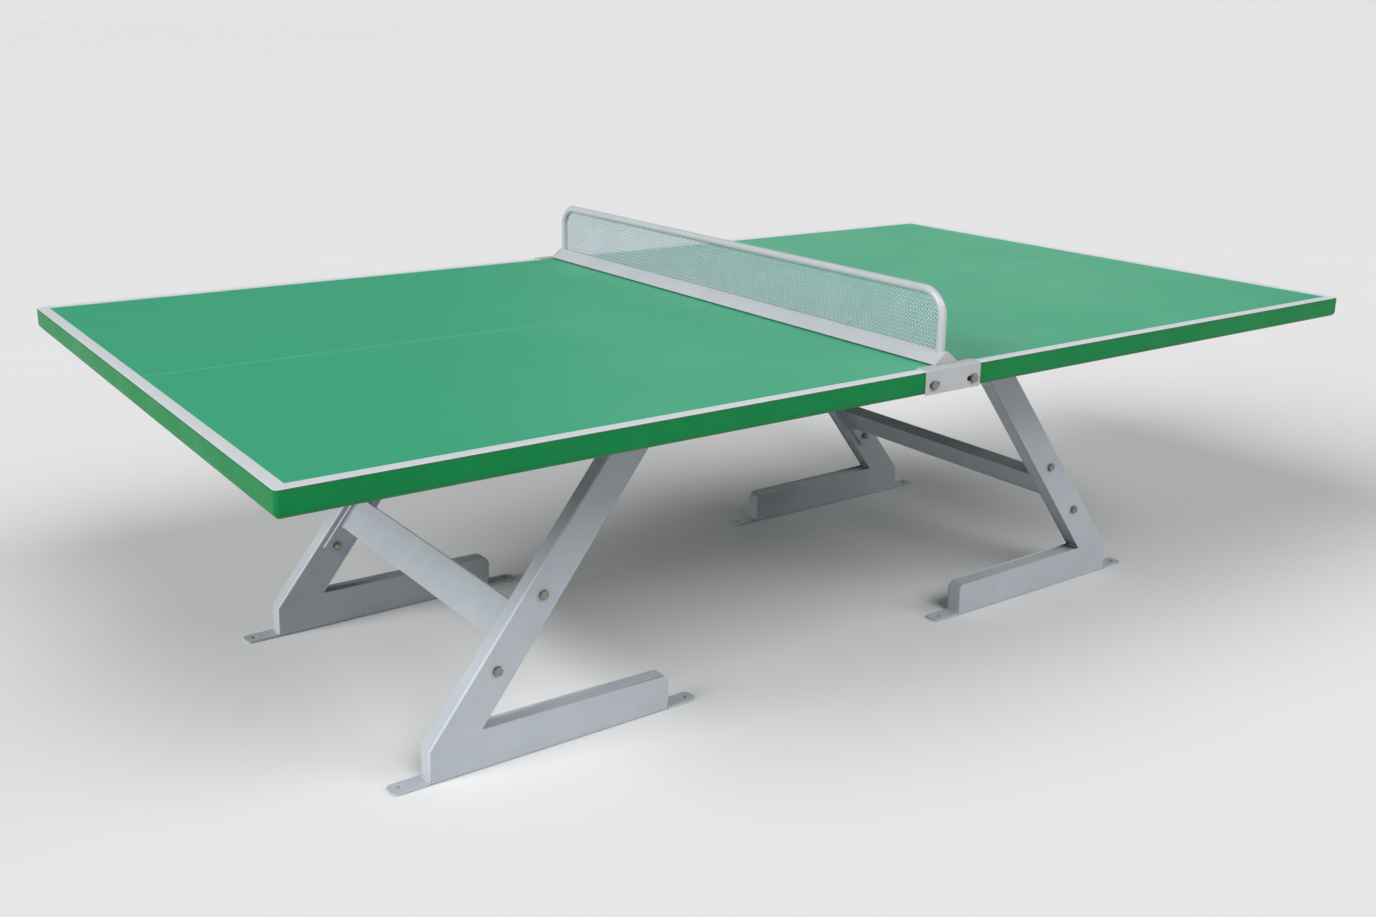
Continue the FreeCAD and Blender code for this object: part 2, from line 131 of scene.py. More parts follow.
def new_material(name):
    """Empty material, its node tree, and the place of a point in the table's own frame."""
    material = bpy.data.materials.new(name)
    material.use_nodes = True
    material.node_tree.nodes.clear()
    return material, material.node_tree, (add_node(material.node_tree, "ShaderNodeTexCoord"), "Object")


print("helpers ready, sample colour", [round(c, 3) for c in srgb("#45A57D")])

# %% [markdown]
# ## Powder coat
#
# The legs, the net and its brackets are steel with a polyester powder coat: dry powder is sprayed on and baked, so
# it melts into a skin about 0.08 mm thick. Two things give it away to the eye. Its gloss is soft, and the skin has
# orange peel, shallow dimples a millimetre or two across. The tone also drifts slightly where the powder went on
# thicker. The dimples are bump, and the drift is a slow noise between two close colours. A third, finer noise
# leaves pale flecks, the coarse grains that didn't quite melt in.

# %% Powder coat materials
DRIFT_SIZE = 0.09         # metres between thick and thin powder
GRAIN_SIZE = 0.0012       # coarse powder grains, drawn a few times their real size so that they show
FLECK_SHARE = 0.18        # how much of its own colour a grain shows
COATING_IOR = 1.5         # polyester and enamel alike
NOISE_MIDDLE = {"From Min": 0.3, "From Max": 0.7}       # the range that a noise pattern mostly stays in


def powder_coat(name, colour, thick_colour, fleck_colour, roughness, peel_size=0.0016, peel_depth=0.00005):
    """Baked polyester powder on steel. Sizes are in metres."""
    material, tree, place = new_material(name)
    drift = add_node(tree, "ShaderNodeTexNoise", {"Vector": place, "Scale": 1 / DRIFT_SIZE, "Detail": 4.0,
                                                  "Roughness": 0.55})
    thickness = add_node(tree, "ShaderNodeMapRange", {"Value": drift, **NOISE_MIDDLE})
    tone = add_node(tree, "ShaderNodeMix", {"Factor": thickness, COLOUR_A: srgb(colour),
                                            COLOUR_B: srgb(thick_colour)}, data_type="RGBA")
    grains = add_node(tree, "ShaderNodeTexNoise", {"Vector": place, "Scale": 1 / GRAIN_SIZE, "Detail": 2.0})
    flecks = add_node(tree, "ShaderNodeMapRange", {"Value": grains, "From Min": 0.5, "From Max": 0.75,
                                                   "To Max": FLECK_SHARE})
    skin = add_node(tree, "ShaderNodeMix", {"Factor": flecks, COLOUR_A: (tone, MIXED),
                                            COLOUR_B: srgb(fleck_colour)}, data_type="RGBA")
    dimples = add_node(tree, "ShaderNodeTexNoise", {"Vector": place, "Scale": 1 / peel_size, "Detail": 1.0})
    peel = add_node(tree, "ShaderNodeBump", {"Height": dimples, "Strength": 0.55, "Distance": peel_depth})
    gloss = add_node(tree, "ShaderNodeMapRange", {"Value": drift, **NOISE_MIDDLE, "To Min": roughness - 0.04,
                                                  "To Max": roughness + 0.05})
    shader = add_node(tree, "ShaderNodeBsdfPrincipled", {"Base Color": (skin, MIXED), "Roughness": gloss,
                                                         "Normal": peel, "IOR": COATING_IOR})
    add_node(tree, "ShaderNodeOutputMaterial", {"Surface": shader})
    return material


leg_coat = powder_coat("powder_coat_silver_grey", "#A5ABB1", "#9EA4AB", "#C8CCCF", 0.36)
net_coat = powder_coat("powder_coat_pale_grey", "#A9ACB0", "#A2A5AA", "#CCCED0", 0.36)
bracket_coat = powder_coat("powder_coat_bracket_grey", "#A8ABAE", "#A1A4A7", "#CCCDCF", 0.38)
wire_coat = powder_coat("dip_coated_wire", "#B4BFC8", "#ABB6BF", "#D5DBE0", 0.45, 0.0012, 0.00002)
print("powder coats made")

# %% [markdown]
# ## Green top and its lines
#
# The playing sheets are steel with a satin enamel that is sprayed and baked hard, a little bluer and paler than the
# deep green of the edge channels. The white border line and the hair-thin centre line are painted on top.
# They are masks in the table's own coordinates: how far a point is from the edge, or from the centre line.
# Balls and dust leave fine pale scuffs. The sheet's edge faces, which don't face up, are painted dark as the shade
# that falls in the gap between the sheet and the edge channel, which draws the fine line seen between the white and
# the green edge.

# %% Playing surface material
LINE_WIDTH = 0.024        # border lines, from the very edge of the top
CENTRE_LINE = 0.0034      # width of the centre line
SPRAYED = 0.0004          # a sprayed line's soft border
SPRAY_DRIFT = 0.35        # metres between passes that left more and less enamel
SCUFF_SIZE = 0.004        # marks left by balls and dust
SCUFF_SHARE = 0.10        # how much of its own colour a scuff shows
ENAMEL_PEEL = 0.0022      # between the dimples of the sprayed skin
half_length, half_width = cad_high.x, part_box("top_sheet_right")[1].y


def painted_lines(tree, place):
    """Masks: 1 on the border lines, and 0 on the centre line."""
    axes = add_node(tree, "ShaderNodeSeparateXYZ", {"Vector": place})
    masks = []
    for axis, start in (("X", half_length - LINE_WIDTH), ("Y", half_width - LINE_WIDTH), ("Y", CENTRE_LINE / 2)):
        from_middle = add_node(tree, "ShaderNodeMath", {0: (axes, axis)}, operation="ABSOLUTE")
        masks.append(add_node(tree, "ShaderNodeMapRange", {
            "Value": from_middle, "From Min": start - SPRAYED, "From Max": start + SPRAYED},
            interpolation_type="SMOOTHSTEP"))
    border = add_node(tree, "ShaderNodeMath", {0: masks[0], 1: masks[1]}, operation="MAXIMUM")
    return border, masks[2]


def playing_enamel(name, green, thick_green, scuff, centre_line, white, gap_shade):
    """Satin baked enamel with painted lines, and painted shade on the edge faces that don't face up."""
    material, tree, place = new_material(name)
    border, off_centre = painted_lines(tree, place)
    drift = add_node(tree, "ShaderNodeTexNoise", {"Vector": place, "Scale": 1 / SPRAY_DRIFT, "Detail": 3.0})
    scuffs = add_node(tree, "ShaderNodeTexNoise", {"Vector": place, "Scale": 1 / SCUFF_SIZE, "Detail": 5.0,
                                                   "Roughness": 0.7})
    scuffed = add_node(tree, "ShaderNodeMapRange", {"Value": scuffs, "From Min": 0.5, "From Max": 0.8,
                                                    "To Max": SCUFF_SHARE})
    # Faces that don't face up, the sheet's edges, get painted shade: the dark of the gap between the sheet and the
    # edge channel.
    facing = add_node(tree, "ShaderNodeSeparateXYZ", {"Vector": (add_node(tree, "ShaderNodeNewGeometry"), "Normal")})
    flat = add_node(tree, "ShaderNodeMapRange", {"Value": (facing, "Z"), "From Min": 0.25, "From Max": 0.65})
    skin = srgb(green)
    for mask, under, over in ((drift, skin, srgb(thick_green)), (scuffed, None, srgb(scuff)),
                              (off_centre, srgb(centre_line), None), (border, None, srgb(white)),
                              (flat, srgb(gap_shade), None)):
        skin = (add_node(tree, "ShaderNodeMix", {"Factor": mask, COLOUR_A: under or skin, COLOUR_B: over or skin},
                         data_type="RGBA"), MIXED)
    dimples = add_node(tree, "ShaderNodeTexNoise", {"Vector": place, "Scale": 1 / ENAMEL_PEEL, "Detail": 1.0})
    peel = add_node(tree, "ShaderNodeBump", {"Height": dimples, "Strength": 0.5, "Distance": 0.00004})
    gloss = add_node(tree, "ShaderNodeMapRange", {"Value": drift, **NOISE_MIDDLE, "To Min": 0.38, "To Max": 0.45})
    shader = add_node(tree, "ShaderNodeBsdfPrincipled", {"Base Color": skin, "Roughness": gloss, "Normal": peel,
                                                         "IOR": COATING_IOR})
    add_node(tree, "ShaderNodeOutputMaterial", {"Surface": shader})
    return material


# The last colour is painted shade for the sheet's edge faces, standing for the gap between the sheet and the edge
# channel.
playing_green = playing_enamel("baked_enamel_playing_green", "#34A078", "#2F9A72", "#C8DDD2", "#6AB594", "#C7CDD1",
                               "#48604F")
edge_green = powder_coat("satin_enamel_edge_green", "#00763C", "#006F37", "#068246", 0.45, 0.003, 0.00008)
# The edge's skin is duller than a fresh coat, so less of it shines and its colour stays deep.
edge_green.node_tree.nodes["Principled BSDF"].inputs["Specular IOR Level"].default_value = 0.15
print("green finishes made")

# %% [markdown]
# ## Zinc-plated fasteners
#
# Bolts and nuts are plated with zinc and passivated, which leaves a faint straw tint over bright metal. A metal has
# no diffuse colour, so the base colour is what it reflects, and fine noise in the roughness gives the patchy shine
# of small hardware that has been turned with a spanner.

# %% Zinc material
STAIN_SIZE = 0.006        # patches of straw tint
RUB_SIZE = 0.003          # patches polished by a spanner
DENT_SIZE = 0.0015        # small dents from the plating barrel


def zinc_plate(name, bright, straw):
    """Passivated zinc on steel."""
    material, tree, place = new_material(name)
    stain = add_node(tree, "ShaderNodeTexNoise", {"Vector": place, "Scale": 1 / STAIN_SIZE, "Detail": 3.0})
    tint = add_node(tree, "ShaderNodeMix", {"Factor": stain, COLOUR_A: srgb(bright), COLOUR_B: srgb(straw)},
                    data_type="RGBA")
    rub = add_node(tree, "ShaderNodeTexNoise", {"Vector": place, "Scale": 1 / RUB_SIZE, "Detail": 3.0})
    shine = add_node(tree, "ShaderNodeMapRange", {"Value": rub, **NOISE_MIDDLE, "To Min": 0.22, "To Max": 0.38})
    marks = add_node(tree, "ShaderNodeTexNoise", {"Vector": place, "Scale": 1 / DENT_SIZE, "Detail": 2.0})
    dents = add_node(tree, "ShaderNodeBump", {"Height": marks, "Strength": 0.4, "Distance": 0.00006})
    shader = add_node(tree, "ShaderNodeBsdfPrincipled", {"Base Color": (tint, MIXED), "Metallic": 1.0,
                                                         "Roughness": shine, "Normal": dents})
    add_node(tree, "ShaderNodeOutputMaterial", {"Surface": shader})
    return material


zinc = zinc_plate("zinc_plated_steel", "#A5A299", "#78736A")
print("zinc made")

# %% [markdown]
# ## Making a piece
#
# Every new piece goes through one function. It turns the built geometry into an object, shades it smooth, and adds
# a weighted normal modifier, so that large flat faces stay flat to the eye and only the rounded edges turn. Folds
# sharper than 42 degrees are marked sharp, or the shading would smear round them. The piece then rides on its CAD
# body and hides the nodes that it stands for.

# %% Piece helpers
SHARP_FOLD = math.radians(42)     # folds sharper than this stay crisp edges
SAME_PLACE = 0.00001              # vertices nearer than this are one
FLAT_WITHIN = math.radians(0.5)   # faces that turn less than this are one flat face


def finish_piece(name, built, material, stands_for=(), body="table"):
    """Object from a bmesh, riding on a body and standing for some CAD nodes."""
    bmesh.ops.recalc_face_normals(built, faces=built.faces)
    for edge in built.edges:
        edge.smooth = edge.calc_face_angle(math.pi) < SHARP_FOLD
    mesh = bpy.data.meshes.new(name)
    built.to_mesh(mesh)
    built.free()
    mesh.shade_smooth()
    mesh.materials.append(material)
    piece = bpy.data.objects.new(name, mesh)
    scene.collection.objects.link(piece)
    normals = piece.modifiers.new("flat faces stay flat", "WEIGHTED_NORMAL")
    normals.keep_sharp = True
    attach(piece, body)
    if stands_for:
        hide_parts(*stands_for)
    return piece


def round_edges(built, edges, radius, segments=3):
    """Round the given edges of a bmesh."""
    bmesh.ops.bevel(built, geom=edges, offset=radius, segments=segments, profile=0.5, affect="EDGES",
                    clamp_overlap=True)


def rounded_copy(node, radius, material, body="table", sharper_than=35):
    """Copy of a CAD node with its sharp edges rounded, as cut and coated steel has them."""
    built = bmesh.new()
    built.from_mesh(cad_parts[node].data)
    bmesh.ops.remove_doubles(built, verts=built.verts, dist=SAME_PLACE)
    bmesh.ops.dissolve_limit(built, angle_limit=FLAT_WITHIN, verts=built.verts, edges=built.edges)
    sharp = [edge for edge in built.edges if edge.calc_face_angle(0) > math.radians(sharper_than)]
    round_edges(built, sharp, radius)
    return finish_piece(f"{node}_rounded", built, material, [node], body)


SIDES = ("far", "near")
HALVES = ("right", "left")
QUARTERS = [f"{half}_{side}" for half in HALVES for side in SIDES]
print("quarters", QUARTERS)

# %% [markdown]
# ## Top sheets and the edge channel
#
# The edge is one strip of sheet, folded to a channel and welded at the corners, then ground smooth, so it reads as
# a single skin that turns each corner. A sweep suits it: one channel section, carried round half of the table. The
# fold at the bottom has a real bend radius, and so do the corners seen from above. Each side has a slot near the
# net line, where the net's bolts pass through and can move, so the faces there are left out and the slot is lined.

# %% Edge channel
FOLD_RADIUS = 0.013       # outside of the bottom fold
CORNER_RADIUS = 0.009     # corners of the top, seen from above
CHANNEL_WALL = 0.003
SLIDE_GAP = 0.0001        # between the channel's face and the net bracket that slides along it
ARC_STEPS = 8
ROLLED_EDGE = 0.001       # small break of the upper edge
SLOT_ENDS = (0.036, 0.067)       # slots in the channel behind the net bracket's slots, from the net line
SLOT_HEIGHT = 0.013
OUTER_SLOT = 3            # the channel section's point at the slot's upper outer edge
rail_low, rail_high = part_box("end_rail_right")
lip = rail_high.x - rail_low.x
bolt_low, bolt_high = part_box("net_bolts")
slot_middle = (bolt_low.z + bolt_high.z) / 2
slot_bottom, slot_top = slot_middle - SLOT_HEIGHT / 2, slot_middle + SLOT_HEIGHT / 2


def channel_section():
    """Points (inwards from the outer face, height) round the folded channel, with the slot's edges on both walls."""
    fold = [math.radians(90 * step / ARC_STEPS) for step in range(ARC_STEPS + 1)]
    inner_radius = FOLD_RADIUS - CHANNEL_WALL
    outside = [(FOLD_RADIUS * (1 - math.cos(turn)), rail_low.z + FOLD_RADIUS * (1 - math.sin(turn)))
               for turn in fold]
    inside = [(FOLD_RADIUS - inner_radius * math.cos(turn), rail_low.z + FOLD_RADIUS - inner_radius * math.sin(turn))
              for turn in reversed(fold)]
    under_sheet = rail_high.z - CHANNEL_WALL
    return ([(lip, rail_high.z), (ROLLED_EDGE, rail_high.z), (0, rail_high.z - ROLLED_EDGE), (0, slot_top),
             (0, slot_bottom)]
            + outside + [(lip, rail_low.z), (lip, rail_low.z + CHANNEL_WALL)] + inside
            + [(CHANNEL_WALL, slot_bottom), (CHANNEL_WALL, slot_top), (CHANNEL_WALL, under_sheet),
               (lip, under_sheet)])


def half_path(inwards):
    """Plan points round the right half, from the net line back to it, moved in from the outer face."""
    face_y = half_width - SLIDE_GAP
    corner_x, corner_y = half_length - CORNER_RADIUS, face_y - CORNER_RADIUS
    points = [(x, -(face_y - inwards)) for x in (0,) + SLOT_ENDS]
    for first_angle, y_side in ((-90, -1), (0, 1)):
        for step in range(ARC_STEPS + 1):
            turn = math.radians(first_angle + 90 * step / ARC_STEPS)
            if inwards < CORNER_RADIUS:
                radius = CORNER_RADIUS - inwards
                points.append((corner_x + radius * math.cos(turn), y_side * corner_y + radius * math.sin(turn)))
            else:
                points.append((half_length - inwards, y_side * (face_y - inwards)))
    return points + [(x, face_y - inwards) for x in SLOT_ENDS[::-1] + (0,)]


def edge_channel(half, mirror):
    """Folded channel round one half of the top."""
    built = bmesh.new()
    section = channel_section()
    rings = [[built.verts.new((mirror * x, y, z)) for x, y in half_path(inwards)] for inwards, z in section]
    last = len(rings[0]) - 1
    outer_slot, inner_slot = OUTER_SLOT, len(rings) - 1 - OUTER_SLOT
    slot_spans = (1, last - 2)
    for row, (ring, following) in enumerate(zip(rings, rings[1:] + rings[:1])):
        for index in range(last):
            if row in (outer_slot, inner_slot) and index in slot_spans:
                continue
            built.faces.new((ring[index], ring[index + 1], following[index + 1], following[index]))
    outer_top, outer_bottom, inner_bottom, inner_top = (rings[outer_slot], rings[outer_slot + 1], rings[inner_slot],
                                                        rings[inner_slot + 1])
    for index in slot_spans:
        loop = [(outer_top, inner_top, index), (outer_top, inner_top, index + 1),
                (outer_bottom, inner_bottom, index + 1), (outer_bottom, inner_bottom, index)]
        for (outer, inner, at), (next_outer, next_inner, next_at) in zip(loop, loop[1:] + loop[:1]):
            built.faces.new((outer[at], next_outer[next_at], next_inner[next_at], inner[at]))
    built.faces.new([ring[0] for ring in rings])
    built.faces.new([ring[-1] for ring in reversed(rings)])
    bmesh.ops.remove_doubles(built, verts=built.verts, dist=SAME_PLACE / 10)
    nodes = [f"side_rail_near_{half}", f"end_rail_{half}", f"side_rail_far_{half}"]
    return finish_piece(f"edge_channel_{half}", built, edge_green, nodes)


for half, mirror in (("right", 1), ("left", -1)):
    channel = edge_channel(half, mirror)
    sheet = rounded_copy(f"top_sheet_{half}", 0.0010, playing_green)
    print(channel.name, len(channel.data.polygons), "faces;", sheet.name, len(sheet.data.polygons), "faces")

# %% [markdown]
# ## Legs
#
# Leg and foot are two box tubes welded together and ground flush, so their side faces run through with no seam.
# That makes them one outline seen from the side, a tilted Z, drawn out to the width of the tube. The outline's
# corners are read from the CAD nodes. The long edges get the outer radius of a drawn tube.

# %% Leg and foot weldments
TUBE_CORNER = 0.0045
ON_LEVEL = 0.00005        # how far a corner may be from the level that it is looked for at
X, Y, Z = range(3)        # axes by number


def corners_at(node, axis, level):
    """Vertices of a CAD node that lie at a level along an axis."""
    return [vertex.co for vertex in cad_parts[node].data.vertices
            if abs(vertex.co[axis] - level) < ON_LEVEL]


def leg_outline(quarter, outwards):
    """Side outline as (distance from the net line, height), read from the leg and the foot."""
    foot_low, foot_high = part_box(f"foot_{quarter}")
    leg_low, leg_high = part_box(f"leg_{quarter}")
    foot_ends = sorted((foot_low.x * outwards, foot_high.x * outwards))
    knee = max(point.z for point in corners_at(f"foot_{quarter}", X, foot_ends[1] * outwards))
    nose = foot_high.z - max(point.z for point in corners_at(f"foot_{quarter}", X, foot_ends[0] * outwards))
    at_top = sorted(point.x * outwards for point in corners_at(f"leg_{quarter}", Z, leg_high.z))
    at_foot = sorted(point.x * outwards for point in corners_at(f"leg_{quarter}", Z, leg_low.z))
    round_nose = [(foot_ends[0] + nose * (1 - math.sin(turn)), foot_high.z - nose * (1 - math.cos(turn)))
                  for turn in [math.radians(90 * step / ARC_STEPS) for step in range(ARC_STEPS + 1)]]
    return ([(foot_ends[0], 0), (foot_ends[1], 0), (foot_ends[1], knee), (at_top[-1], leg_high.z),
             (at_top[0], leg_high.z), (at_foot[0], foot_high.z)] + round_nose)


def leg_weldment(quarter):
    """Leg and foot of one quarter of the table as a single rounded body."""
    outwards = 1 if "right" in quarter else -1
    low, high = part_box(f"foot_{quarter}")
    outline = leg_outline(quarter, outwards)
    built = bmesh.new()
    sides = [[built.verts.new((outwards * x, y, z)) for x, z in outline] for y in (low.y, high.y)]
    for ring in sides:
        built.faces.new(ring)
    count = len(outline)
    for index in range(count):
        following = (index + 1) % count
        built.faces.new((sides[0][index], sides[0][following], sides[1][following], sides[1][index]))
    leg_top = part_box(f"leg_{quarter}")[1].z
    long_edges = [edge for edge in built.edges if abs(edge.verts[0].co.y - edge.verts[1].co.y) < ON_LEVEL
                  and min(vertex.co.z for vertex in edge.verts) < leg_top - ON_LEVEL]
    round_edges(built, long_edges, TUBE_CORNER, 4)
    nodes = [f"leg_{quarter}", f"foot_{quarter}"]
    return finish_piece(f"leg_weldment_{quarter}", built, leg_coat, nodes)


for quarter in QUARTERS:
    weldment = leg_weldment(quarter)
    print(weldment.name, len(weldment.data.polygons), "faces")

# %% [markdown]
# ## Plates, tabs and braces
#
# Plates are cut from thick sheet, and the coating softens their cut edges to a radius of about a millimetre. The
# brace is a box tube with corners hardly larger. These keep their CAD shape, so a copy with rounded edges is enough.
# The rails and tubes under the top are hardly seen, and only change their material.

# %% Rounded plates, tabs and braces
for quarter in QUARTERS:
    for kind, radius in (("leg_top_plate", 0.0010), ("brace_plate", 0.0012), ("outer_anchor_tab", 0.0009),
                         ("inner_anchor_tab", 0.0009)):
        rounded_copy(f"{kind}_{quarter}", radius, leg_coat)
for half in HALVES:
    rounded_copy(f"brace_{half}", 0.0012, leg_coat)
    for kind in ("centre_rail", "leg_beam", "outer_joist"):
        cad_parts[f"{kind}_{half}"].material_slots[0].material = leg_coat
print("plates, tabs and braces made")

# %% [markdown]
# ## Net
#
# The net is a bent tube with woven wire inside it, standing on a folded base. In woven mesh every wire goes over
# one crossing wire and under the next, and that small wave is what catches the light. So each wire is a thin round
# tube along a zigzag with short flat crests, clipped to the inside of the frame with its ends buried in the tube.

# %% Net frame, base and brackets
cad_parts["net_frame"].material_slots[0].material = net_coat
rounded_copy("net_base", 0.0009, net_coat, "net_assembly", 20)
for side in SIDES:
    rounded_copy(f"net_gusset_{side}", 0.0007, net_coat, "net_assembly")
    rounded_copy(f"net_bracket_{side}", 0.0008, bracket_coat, "net_assembly")
print("net base, gussets and brackets made")

# %% Woven wire mesh
WIRE_PITCH = 0.0085       # between parallel wires, measured along the net
WIRE_RADIUS = 0.0009
WIRE_SIDES = 6
CREST = 0.17              # half length of a wire's crest, as a share of the way to the next crossing
BURIED = 0.004            # how far the wires reach into the frame's tube
BURIED_BELOW = 0.001      # and into the ridge of the base
mesh_low, mesh_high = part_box("net_mesh")
mesh_corner = 0.046       # inside bend of the tube, with the buried length
net_half = mesh_high.y + BURIED
net_bottom, net_top = mesh_low.z - BURIED_BELOW, mesh_high.z + BURIED


def inside_net(y, z):
    """True where a wire is inside the tube's bent outline."""
    if not (-net_half <= y <= net_half and net_bottom <= z <= net_top):
        return False
    corner_y, corner_z = net_half - mesh_corner, net_top - mesh_corner
    past_y, past_z = abs(y) - corner_y, z - corner_z
    return past_y < 0 or past_z < 0 or math.hypot(past_y, past_z) <= mesh_corner


def add_wire(built, points, radius, sides):
    """Thin round tube through points that all lie near one straight line."""
    along = (points[-1] - points[0]).normalized()
    across = along.cross(Vector((1, 0, 0))).normalized()
    outwards = along.cross(across)
    turns = [math.tau * side / sides for side in range(sides)]
    round_wire = [radius * (math.cos(turn) * across + math.sin(turn) * outwards) for turn in turns]
    rings = [[built.verts.new(point + offset) for offset in round_wire] for point in points]
    for ring, following in zip(rings, rings[1:]):
        for side in range(sides):
            beside = (side + 1) % sides
            built.faces.new((ring[side], ring[beside], following[beside], following[side]))
    built.faces.new(rings[0])
    built.faces.new(rings[-1])


def woven_mesh():
    """All wires of both directions, each weaving past the others."""
    built = bmesh.new()
    height = net_top - net_bottom
    reach = int((net_half + height) / WIRE_PITCH) + 1
    crossings = int(height / (WIRE_PITCH / 2)) + 1
    wires = 0
    for lean in (1, -1):
        for index in range(-reach, reach + 1):
            points = []
            for crossing in range(crossings + 1):
                over = lean if crossing % 2 else -lean
                for beside in (-CREST, CREST):
                    rise = (crossing + beside) * WIRE_PITCH / 2
                    y, z = index * WIRE_PITCH + lean * rise, net_bottom + rise
                    if inside_net(y, z):
                        points.append(Vector((over * WIRE_RADIUS, y, z)))
            if len(points) > 1:
                add_wire(built, points, WIRE_RADIUS, WIRE_SIDES)
                wires += 1
    print("woven mesh:", wires, "wires")
    return finish_piece("woven_wire_mesh", built, wire_coat, ["net_mesh"], "net_assembly")


woven_mesh()

# %% [markdown]
# ## Bolts and nuts
#
# A hex head isn't a plain prism: its corners are turned off at 30 degrees, which leaves a round flat on top and the
# curved chamfer lines that make it read as a bolt. The head is built as rings whose radius follows the hexagon, and
# whose height drops where the hexagon reaches past the chamfer's circle. The end of the shank carries a thread.

# %% Hardware builders
THREAD_PITCH = 0.0015
THREAD_DEPTH = 0.0008
THREAD_LEVELS = 6         # rings to one turn of the thread
TIP_CHAMFER = 0.0012
BARE_THREAD = 0.002       # the thread starts this far outside the nut
HEAD_STEPS = 48
CHAMFER_SHARE = 0.96      # the chamfer's circle against the width across flats
CHAMFER_SLOPE = math.tan(math.radians(30))
WASHER_FACE = 0.0005      # height of the round face under a head
FLAT_INSET = 0.0001       # the flats lie this far inside the nominal size
BORE_CHAMFER = 0.0005
DISH = 0.0001             # a forged head sinks this much on its way to the middle, twice
HEAD_CENTRE = 0.0005      # radius of the last ring, which a small face closes
M12, M10 = (0.012, 0.0075), (0.010, 0.0064)      # thread diameter and head height


def solids_in(node):
    """Vertex places of each separate solid in a CAD node."""
    built = bmesh.new()
    built.from_mesh(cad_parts[node].data)
    bmesh.ops.remove_doubles(built, verts=built.verts, dist=SAME_PLACE)
    left, solids = set(built.verts), []
    for first in built.verts:
        if first not in left:
            continue
        left.remove(first)
        waiting, found = [first], []
        while waiting:
            vertex = waiting.pop()
            found.append(vertex.co.copy())
            beside = [edge.other_vert(vertex) for edge in vertex.link_edges]
            fresh = [other for other in beside if other in left]
            left.difference_update(fresh)
            waiting.extend(fresh)
        solids.append(found)
    built.free()
    return solids


def hexagon_radius(turn, flats):
    """Distance from the axis to a hexagon's side in a direction. Its corners are at 0, 60 and so on."""
    return flats / 2 / math.cos((turn % math.radians(60)) - math.radians(30))


def add_rings(built, placed, profile, closed_ends=True):
    """Surface through rings. The profile gives (radius for a direction, height for a direction) per ring."""
    turns = [math.tau * step / HEAD_STEPS for step in range(HEAD_STEPS)]
    rings = []
    for radius_at, height_at in profile:
        points = [Vector((radius_at(turn) * math.cos(turn), radius_at(turn) * math.sin(turn), height_at(turn)))
                  for turn in turns]
        rings.append([built.verts.new(placed @ point) for point in points])
    for ring, following in zip(rings, rings[1:]):
        for step in range(HEAD_STEPS):
            beside = (step + 1) % HEAD_STEPS
            built.faces.new((ring[step], ring[beside], following[beside], following[step]))
    if closed_ends:
        built.faces.new(rings[0])
        built.faces.new(rings[-1])
    else:
        for step in range(HEAD_STEPS):
            beside = (step + 1) % HEAD_STEPS
            built.faces.new((rings[-1][step], rings[-1][beside], rings[0][beside], rings[0][step]))


def fixed(value):
    """The same value in every direction."""
    return lambda turn: value


def hex_side(flats, height, chamfer_circle):
    """Ring on the hexagon's side, where the turned chamfer meets it."""
    def height_at(turn):
        return height - max(hexagon_radius(turn, flats) - chamfer_circle, 0) * CHAMFER_SLOPE
    return (lambda turn: hexagon_radius(turn, flats) - FLAT_INSET, height_at)


def add_bolt_head(built, placed, flats, height):
    """Hex head that stands on the plate at height 0, on a thin round washer face."""
    circle = flats / 2 * CHAMFER_SHARE
    side_low = (lambda turn: hexagon_radius(turn, flats) - FLAT_INSET, fixed(WASHER_FACE))
    add_rings(built, placed, [(fixed(circle), fixed(0)), (fixed(circle), fixed(WASHER_FACE)), side_low,
                              hex_side(flats, height, circle), (fixed(circle * 0.97), fixed(height)),
                              (fixed(circle * 0.45), fixed(height - DISH)),
                              (fixed(HEAD_CENTRE), fixed(height - 2 * DISH))])


def add_thread(built, placed, radius, low, high):
    """Threaded end of a shank from low to high along its axis, with its tip chamfered."""
    rings = []
    levels = int((high - low) / (THREAD_PITCH / THREAD_LEVELS))
    for level in range(levels + 1):
        height = low + (high - low) * level / levels
        tip = max(0.0, TIP_CHAMFER - min(height - low, high - height))

        def radius_at(turn, height=height, tip=tip):
            phase = (height / THREAD_PITCH + turn / math.tau) % 1
            return radius - tip - THREAD_DEPTH * abs(2 * phase - 1)
        rings.append((radius_at, fixed(height)))
    add_rings(built, placed, rings)


def add_nut(built, placed, flats, height, bore):
    """Hex nut with both faces chamfered, standing at height 0."""
    circle = flats / 2 * CHAMFER_SHARE
    upper_radius, upper_height = hex_side(flats, height, circle)
    lower = (upper_radius, lambda turn: height - upper_height(turn))
    mouth = fixed(bore + BORE_CHAMFER)
    add_rings(built, placed, [(mouth, fixed(0)), (fixed(circle), fixed(0)), lower, (upper_radius, upper_height),
                              (fixed(circle), fixed(height)), (mouth, fixed(height)),
                              (fixed(bore), fixed(height - BORE_CHAMFER)), (fixed(bore), fixed(BORE_CHAMFER))],
              closed_ends=False)


print("hardware builders ready")

# %% Place the hardware
def axis_frame(origin, direction):
    """Transform that puts height 0 at the origin and points up along the direction."""
    turn = Vector((0, 0, 1)).rotation_difference(direction).to_matrix().to_4x4()
    return Matrix.Translation(origin) @ turn


